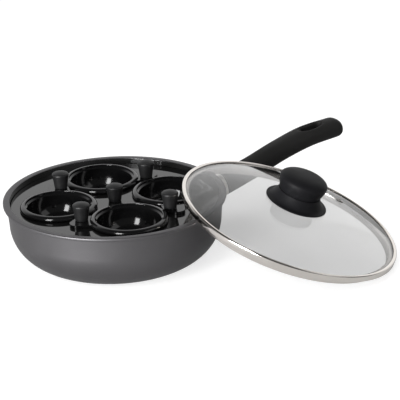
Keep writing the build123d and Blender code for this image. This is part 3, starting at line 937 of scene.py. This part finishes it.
class POACHER_OT_grip(bpy.types.Operator):
    """Lofts the moulded grip and cuts its hanging hole"""

    bl_idname = "poacher.grip"
    bl_label = "Grip"

    def loft(self, grip):
        """Extrudes a rounded rectangle through the grip's sections."""
        (centre, width, depth, pitch), *others = grip_sections(grip)
        piece = rounded_outline("grip", depth, width, depth * grip.corner_share)
        bpy.ops.transform.rotate(
            value=-(pi / 2 - pitch), orient_axis="Y", center_override=(0, 0, 0)
        )
        bpy.ops.transform.translate(value=centre)
        for next_centre, next_width, next_depth, next_pitch in others:
            step = {"value": next_centre - centre}
            bpy.ops.mesh.extrude_region_move(TRANSFORM_OT_translate=step)
            bpy.ops.transform.rotate(
                value=next_pitch - pitch, orient_axis="Y", center_override=next_centre
            )
            bpy.ops.transform.resize(
                value=(1, next_width / width, next_depth / depth),
                orient_matrix=Matrix.Rotation(-next_pitch, 3, "Y"),
                orient_type="GLOBAL",
                center_override=next_centre,
            )
            centre, width, depth, pitch = next_centre, next_width, next_depth, next_pitch
        close_and_smooth(piece)
        return piece

    def hole_cutter(self, grip, place):
        """What cuts the hanging hole."""
        corner = grip.hole_width * 0.499
        cutter = rounded_outline("grip_cutter", grip.hole_length, grip.hole_width, corner, 12)
        extrude_up(4 * grip.thickness)
        close_and_smooth(cutter)
        place_piece(cutter, place @ Matrix.Translation((0, 0, -2 * grip.thickness)))
        return cutter

    def dish_cutter(self, grip, place):
        """What cuts the hollow round the hanging hole."""
        clear_selection()
        bpy.ops.mesh.primitive_uv_sphere_add(
            segments=48, ring_count=24, radius=1, location=(0, 0, 0)
        )
        dish = named("grip_dish")
        stretch(dish, grip.dish_length / 2, grip.dish_width / 2, 2 * grip.dish_depth)
        close_and_smooth(dish)
        top = along_grip(grip.hole_reach_share, 2) * grip.thickness / 2
        place_piece(dish, place @ Matrix.Translation((0, 0, top + grip.dish_depth)))
        return dish

    def execute(self, context):
        grip = context.scene.poacher_grip
        piece = self.loft(grip)
        reach = Vector((
            grip.hole_reach_share * grip.length, 0, grip.hole_rise_share * grip.rise
        ))
        tilt = Matrix.Rotation(-grip.hole_pitch, 4, "Y")
        place = Matrix.Translation(grip_start(grip) + reach) @ tilt
        tools = (self.hole_cutter(grip, place), self.dish_cutter(grip, place))
        pick(piece)
        for name, tool in zip(("Hanging hole", "Hollow"), tools):
            modify(piece, name, "BOOLEAN", operation="DIFFERENCE", solver="EXACT", object=tool)
        modify(piece, "Even skin", "REMESH", mode="VOXEL", voxel_size=SKIN_CELL)
        modify(piece, "Eased edges", "SMOOTH", factor=0.5, iterations=EASE_STEPS)
        modify(piece, "Full size", "DISPLACE", strength=EASE_LOSS, mid_level=0.0)
        apply_modifiers(piece)
        for tool in tools:
            bpy.data.objects.remove(tool, do_unlink=True)
        place_piece(piece, Matrix.Rotation(grip.heading, 4, "Z"))
        pick(piece)
        bpy.ops.object.shade_smooth()
        finish_piece(piece, "pan", "handle_black", ["handle_grip"])
        return {"FINISHED"}


class POACHER_OT_ferrule(bpy.types.Operator):
    """Models the bright ferrule between bracket and grip"""

    bl_idname = "poacher.ferrule"
    bl_label = "Ferrule"

    def execute(self, context):
        grip = context.scene.poacher_grip
        width = grip.width * GRIP_STATIONS[0][1] + 2 * grip.ferrule_margin
        depth = grip.thickness + 2 * grip.ferrule_margin
        piece = rounded_outline("ferrule", depth, width, depth * grip.corner_share, 10)
        extrude_up(grip.ferrule_length)
        close_and_smooth(piece, 30)
        modify(
            piece,
            "Rolled edges",
            "BEVEL",
            width=grip.ferrule_rounding,
            segments=4,
            limit_method="ANGLE",
            angle_limit=radians(60),
        )
        apply_modifiers(piece)
        close_and_smooth(piece, 50)
        place_piece(piece, ferrule_place(grip))
        finish_piece(piece, "pan", "ferrule_steel", ["handle_ferrule"])
        return {"FINISHED"}


class POACHER_OT_lid_band(bpy.types.Operator):
    """Turns the steel band with its folded lip and its skirt"""

    bl_idname = "poacher.lid_band"
    bl_label = "Lid Band"

    def execute(self, context):
        lid = context.scene.poacher_lid
        pan = context.scene.poacher_pan
        band = pan.rim_radius + lid.overhang
        inner = band - lid.band_wall
        _, sight = dome(lid, pan)
        skirt = pan.rim_radius - pan.rim_width - lid.skirt_clearance
        top = lid.lip_gap + lid.lip_thickness
        foot = -lid.flange_drop - lid.flange_thickness
        soft = lid.steel_rounding
        thin = lid.skirt_wall / 2
        fold = lid.lip_thickness / 2
        crown = band - 2 * soft
        profile = [(inner, lid.lip_gap)]
        profile += [(sight + fold, lid.lip_gap)]
        profile += arc((crown, lid.lip_gap), crown - sight, top - lid.lip_gap, 172, 90, 9)
        rounding = top - lid.lip_gap + soft
        profile += arc((crown, lid.lip_gap - soft), band - crown, rounding, 90, 0, 10)
        profile += arc((band - soft, foot + soft), soft, soft, 0, -90, 5)
        profile += arc((skirt + soft, foot - soft), soft, soft, 90, 180, 4)
        profile += arc((skirt - thin, -lid.skirt_drop + thin), thin, thin, 0, -180, 6)
        profile += [(skirt - lid.skirt_wall, -lid.flange_drop - soft)]
        bend = (skirt - lid.skirt_wall + soft, -lid.flange_drop - soft)
        profile += arc(bend, soft, soft, 180, 90, 4)
        profile += [(inner, -lid.flange_drop), (inner, lid.lip_gap)]
        piece = turned_piece("lid_rim_band", profile, 224, 40)
        place_piece(piece, lid_place(lid, pan))
        finish_piece(piece, "lid", "band_steel", ["lid_band"])
        return {"FINISHED"}


# Powers that bend the lid knob's curves: the flange's way in and up, the cap's belly and crown
FLANGE_IN = 0.78
FLANGE_UP = 1.75
CAP_BULGE = 1.15
CAP_CROWN = 0.7


class POACHER_OT_lid_knob(bpy.types.Operator):
    """Turns the lid knob's flange and its mushroom cap"""

    bl_idname = "poacher.lid_knob"
    bl_label = "Lid Knob"

    def execute(self, context):
        lid = context.scene.poacher_lid
        pan = context.scene.poacher_pan
        place = lid_place(lid, pan)
        seat = dome_height(lid, pan, lid.knob_radius - lid.knob_edge)
        neck = seat + lid.neck_rise
        edge = lid.knob_edge / 2
        roof = neck - 2 * lid.shell
        flange = [(lid.hub_radius, lid.dome_rise), (lid.hub_radius, roof)]
        flange += [(lid.neck_radius - 2 * lid.shell, roof)]
        flange += [(lid.knob_radius - lid.shell, seat + edge)]
        flange += [(lid.knob_radius - lid.knob_edge, seat)]
        flange += arc((lid.knob_radius - edge, seat + edge), edge, edge, -90, 60, 6)
        rise = neck - seat - lid.knob_edge
        span = lid.knob_radius - edge - lid.neck_radius
        for step in range(1, 15):
            share = step / 14
            reach = lid.knob_radius - edge - span * share ** FLANGE_IN
            flange.append((reach, seat + lid.knob_edge + rise * share ** FLANGE_UP))
        bore = lid.hub_radius * 0.4
        flange += [(bore, neck), (bore, lid.dome_rise), (lid.hub_radius, lid.dome_rise)]
        base = turned_piece("lid_knob_flange", flange, 144, 40)
        place_piece(base, place)
        finish_piece(base, "lid", "lid_knob_black", ["lid_knob_base"])
        waist = neck + lid.cap_waist
        belly = neck + lid.cap_belly
        crown = neck + lid.cap_height
        cap = [(0, neck), (lid.neck_radius - lid.shell, neck)]
        groove = 0.0004
        turn_in = (lid.neck_radius - lid.shell, waist - groove)
        cap += arc(turn_in, lid.shell * 0.85, lid.cap_waist - groove, -90, -10, 5)
        for step in range(0, 13):
            share = step / 12
            bulge = (lid.cap_radius - lid.neck_radius) * sin(pi / 2 * share) ** CAP_BULGE
            cap.append((lid.neck_radius + bulge, waist + (belly - waist) * share))
        upper = crown - belly
        for step in range(1, 22):
            angle = pi / 2 * step / 22
            cap.append((lid.cap_radius * cos(angle) ** CAP_CROWN, belly + upper * sin(angle)))
        cap.append((0, crown))
        head = turned_piece("lid_knob_top", cap, 144, 40)
        place_piece(head, place)
        finish_piece(head, "lid", "lid_knob_black", ["lid_knob_cap"])
        return {"FINISHED"}


class POACHER_OT_vent(bpy.types.Operator):
    """Turns the steam vent with its rolled rims"""

    bl_idname = "poacher.vent"
    bl_label = "Steam Vent"

    def execute(self, context):
        lid = context.scene.poacher_lid
        pan = context.scene.poacher_pan
        sphere, _ = dome(lid, pan)
        tilt = asin(lid.vent_reach / sphere)
        roll = lid.vent_roll / 2
        low = -lid.glass_thickness - roll
        profile = arc((lid.vent_flange - roll, roll), roll, roll, -90, 90, 6)
        profile += arc((lid.vent_bore + roll, roll), roll, roll, 90, 180, 4)
        profile += arc((lid.vent_bore + roll, low), roll, roll, 180, 270, 4)
        profile += arc((lid.vent_flange - roll, low), roll, roll, -90, 90, 6)
        profile += [(lid.vent_tube, -lid.glass_thickness), (lid.vent_tube, 0)]
        profile += [(lid.vent_flange - roll, 0)]
        piece = turned_piece("vent_eyelet", profile, 48, 40)
        heading = Matrix.Rotation(lid.vent_heading, 4, "Z")
        centre = Matrix.Translation((0, 0, lid.dome_rise - sphere))
        away = Matrix.Rotation(tilt, 4, "Y") @ Matrix.Translation((0, 0, sphere))
        place = lid_place(lid, pan) @ centre @ heading @ away
        place_piece(piece, place)
        finish_piece(piece, "lid", "vent_steel", ["lid_vent"])
        return {"FINISHED"}


# The filling scale, on the wall above the ledge and below it: height, figure, and the heights of
# the level lines beside it
SCALE_LEVELS = (
    (0.0563, "1.5", (0.0552, 0.0564, 0.0576)),
    (0.0455, "1.0", (0.0435, 0.0455, 0.0475)),
)
FIGURE_HEADING = radians(65.6)
STROKE_HEADING = radians(69.2)
LEVELS_HEADING = radians(80)
LEVELS_LENGTH = 0.009
SCALE_LINE = 0.0004
STROKE_SHARE = 1.1
PRINT_HEIGHT = 0.00012


class POACHER_OT_filling_scale(bpy.types.Operator):
    """Prints the filling scale inside the pan's wall: lines and plain figures"""

    bl_idname = "poacher.filling_scale"
    bl_label = "Filling Scale"

    def execute(self, context):
        pan = context.scene.poacher_pan
        high = pan.rim_radius - pan.rim_width
        low = high - pan.ledge_width
        for radius, (height, figure, _) in zip((high, low), SCALE_LEVELS):
            self.line(radius, STROKE_HEADING, height, SCALE_LINE, pan.mark_size * STROKE_SHARE)
            self.figure(radius, FIGURE_HEADING, height, figure, pan.mark_size)
        for radius, (_, _, levels) in zip((high, low), SCALE_LEVELS):
            for height in levels:
                self.line(radius, LEVELS_HEADING, height, LEVELS_LENGTH, SCALE_LINE)
        return {"FINISHED"}

    def on_wall(self, piece, radius, heading, height):
        """Wraps a flat mark round the wall and gives it its finish."""
        for vertex in piece.data.vertices:
            turned = vertex.co.x / radius
            away = radius - vertex.co.z
            across = away * sin(turned)
            vertex.co = Vector((across, vertex.co.y, radius - away * cos(turned)))
        place = Matrix.Translation((radius * cos(heading), radius * sin(heading), height))
        facing = Matrix.Rotation(heading - pi / 2, 4, "Z") @ Matrix.Rotation(pi / 2, 4, "X")
        place_piece(piece, place @ facing)
        finish_piece(piece, "pan", "pan_anodised", look="scale_print")

    def line(self, radius, heading, height, width, depth):
        """One straight printed line."""
        piece = flat_outline("filling_line", width, depth)
        bpy.ops.mesh.subdivide(number_cuts=5)
        select_faces()
        extrude_up(PRINT_HEIGHT)
        close_and_smooth(piece)
        self.on_wall(piece, radius, heading, height)

    def figure(self, radius, heading, height, text, size):
        """One plain figure."""
        clear_selection()
        bpy.ops.object.text_add(location=(0, 0, 0))
        figure = named("filling_figure").data
        figure.body = text
        figure.size = size
        figure.align_x = "CENTER"
        figure.align_y = "CENTER"
        figure.resolution_u = 3
        figure.extrude = PRINT_HEIGHT / 2
        bpy.ops.object.convert(target="MESH")
        piece = bpy.context.object
        close_and_smooth(piece)
        self.on_wall(piece, radius, heading, height)


# Each lamp's name, heading and elevation in degrees, distance, width and height, the setting
# that holds its power, and whether gloss mirrors it
LAMPS = (
    ("key_softbox", -120, 24, 1.9, (0.5, 1.2), "key_power", True),
    ("skim_softbox", -128, 4, 1.5, (0.8, 0.24), "skim_power", True),
    ("fill_softbox", -20, 35, 2.4, (1.2, 1.2), "fill_power", True),
    ("top_softbox", 60, 78, 2.2, (1.8, 1.2), "top_power", False),
)
LAMP_TARGET = Vector((0.05, 0, 0.04))
# The floor's own light where it is seen plainly, and the share of it that gloss mirrors
FLOOR_GLOW = 0.72
FLOOR_IN_GLOSS = 0.15
# The world in gloss: where a step starts and ends along Y or Z, and its first and last
# brightness; and the world's brightness for every other ray that isn't seen plainly
BEHIND = (0.1, 0.85, 0.12, 1.0)
OVERHEAD = (0.62, 0.85, 1.0, 0.25)
DIM_ROOM = 0.3


class POACHER_OT_stage(bpy.types.Operator):
    """Sets the floor, the soft studio light and the camera"""

    bl_idname = "poacher.stage"
    bl_label = "Studio Stage"

    def softbox(self, name, heading, elevation, distance, size, power, mirrored):
        """An area lamp that looks at the object from a heading and an elevation."""
        heading = radians(heading)
        elevation = radians(elevation)
        level = cos(elevation)
        reach = Vector((cos(heading) * level, sin(heading) * level, sin(elevation))) * distance
        clear_selection()
        bpy.ops.object.light_add(type="AREA", location=LAMP_TARGET + reach)
        lamp = bpy.context.object
        lamp.name = name
        lamp.data.shape = "RECTANGLE"
        lamp.data.size, lamp.data.size_y = size
        lamp.data.energy = power
        lamp.rotation_euler = reach.to_track_quat("Z", "Y").to_euler()
        lamp.visible_glossy = mirrored

    def execute(self, context):
        scene = context.scene
        stage = scene.poacher_stage
        clear_selection()
        bpy.ops.mesh.primitive_circle_add(
            vertices=128, radius=stage.floor_radius, fill_type="TRIFAN", location=(0, 0, 0)
        )
        floor = context.object
        floor.name = "studio_floor"
        floor.data.materials.append(self.floor_material(scene.poacher_finish.floor))
        for name, heading, elevation, distance, size, power, mirrored in LAMPS:
            strength = getattr(stage, power)
            self.softbox(name, heading, elevation, distance, size, strength, mirrored)
        self.make_world(scene)
        bpy.ops.object.camera_add(location=stage.camera_place)
        camera = context.object
        camera.name = "studio_camera"
        tilt = Matrix.Rotation(stage.camera_tilt, 4, "X")
        camera.rotation_euler = (tilt @ Matrix.Rotation(stage.camera_roll, 4, "Z")).to_euler()
        camera.data.sensor_width = 36
        camera.data.lens = stage.camera_lens
        camera.data.clip_end = 50
        scene.camera = camera
        scene.view_settings.view_transform = "Standard"
        return {"FINISHED"}

    def seen_plainly(self, tree, path):
        """One for the camera, and where the ray has come through glass with no bounce."""
        bounces = calculate(tree, "ADD", (path, "Diffuse Depth"), (path, "Glossy Depth"))
        direct = calculate(tree, "LESS_THAN", bounces, 0.5)
        through = calculate(tree, "MULTIPLY", (path, "Is Transmission Ray"), direct)
        return calculate(tree, "MAXIMUM", (path, "Is Camera Ray"), through)

    def floor_material(self, tone):
        """Pale floor that looks white to the camera and keeps the object's shadow."""
        values = {"Base Color": (*tone, 1), "Emission Color": (1, 1, 1, 1)}
        values |= {"Roughness": 0.9, "Specular IOR Level": 0.0}
        material, tree, shader = new_material("studio_floor", values)
        path = add_node(tree, "LightPath")
        mirrored = calculate(tree, "MULTIPLY", (path, "Is Glossy Ray"), FLOOR_IN_GLOSS)
        shown = calculate(tree, "MAXIMUM", self.seen_plainly(tree, path), mirrored)
        glow = calculate(tree, "MULTIPLY", shown, FLOOR_GLOW)
        wire(tree, (*glow, shader, "Emission Strength"))
        return material

    def falloff(self, tree, start, end, first, last):
        """A smooth step from one brightness to another."""
        values = {"From Min": start, "From Max": end, "To Min": first, "To Max": last}
        return add_node(tree, "MapRange", values, interpolation_type="SMOOTHSTEP")

    def make_world(self, scene):
        """White where the camera and glass look; for gloss bright behind and dark in front."""
        world = bpy.data.worlds.new("studio_world")
        scene.world = world
        world.use_nodes = True
        tree = world.node_tree
        background = tree.nodes["Background"]
        background.inputs["Color"].default_value = (1, 1, 1, 1)
        path = add_node(tree, "LightPath")
        place = add_node(tree, "TexCoord")
        parts = add_node(tree, "SeparateXYZ")
        behind = self.falloff(tree, *BEHIND)
        overhead = self.falloff(tree, *OVERHEAD)
        room = calculate(tree, "MULTIPLY", (behind, "Result"), (overhead, "Result"))
        gloss = add_node(tree, "Mix", {2: DIM_ROOM})
        strength = add_node(tree, "Mix", {3: 1.0})
        wire(
            tree,
            (place, "Generated", parts, "Vector"),
            (parts, "Y", behind, "Value"),
            (parts, "Z", overhead, "Value"),
            (path, "Is Glossy Ray", gloss, "Factor"),
            (*room, gloss, 3),
            (*self.seen_plainly(tree, path), strength, "Factor"),
            (gloss, 0, strength, 2),
            (strength, 0, background, "Strength"),
        )


STEPS = (
    POACHER_OT_finish_frame,
    POACHER_OT_pan_shell,
    POACHER_OT_filling_scale,
    POACHER_OT_lifting_knobs,
    POACHER_OT_ferrule,
    POACHER_OT_grip,
    POACHER_OT_lid_band,
    POACHER_OT_lid_knob,
    POACHER_OT_vent,
    POACHER_OT_stage,
)


class POACHER_PT_sidebar(bpy.types.Panel):
    """Lists the steps that dress the pan"""

    bl_idname = "POACHER_PT_sidebar"
    bl_label = "Poacher Pan"
    bl_space_type = "VIEW_3D"
    bl_region_type = "UI"
    bl_category = "Poacher Pan"

    def draw(self, context):
        column = self.layout.column(align=True)
        for step in STEPS:
            column.operator(step.bl_idname)
        for group, kind in SETTINGS.items():
            box = self.layout.box()
            for name in kind.__annotations__:
                box.prop(getattr(context.scene, group), name)


def register():
    for settings in SETTINGS.values():
        bpy.utils.register_class(settings)
    for name, settings in SETTINGS.items():
        setattr(bpy.types.Scene, name, PointerProperty(type=settings))
    for step in STEPS:
        bpy.utils.register_class(step)
    bpy.utils.register_class(POACHER_PT_sidebar)


def unregister():
    bpy.utils.unregister_class(POACHER_PT_sidebar)
    for step in reversed(STEPS):
        bpy.utils.unregister_class(step)
    for name, settings in SETTINGS.items():
        delattr(bpy.types.Scene, name)
        bpy.utils.unregister_class(settings)


def main():
    register()
    for step in STEPS:
        space, name = step.bl_idname.split(".")
        getattr(getattr(bpy.ops, space), name)()


if __name__ == "__main__":
    main()
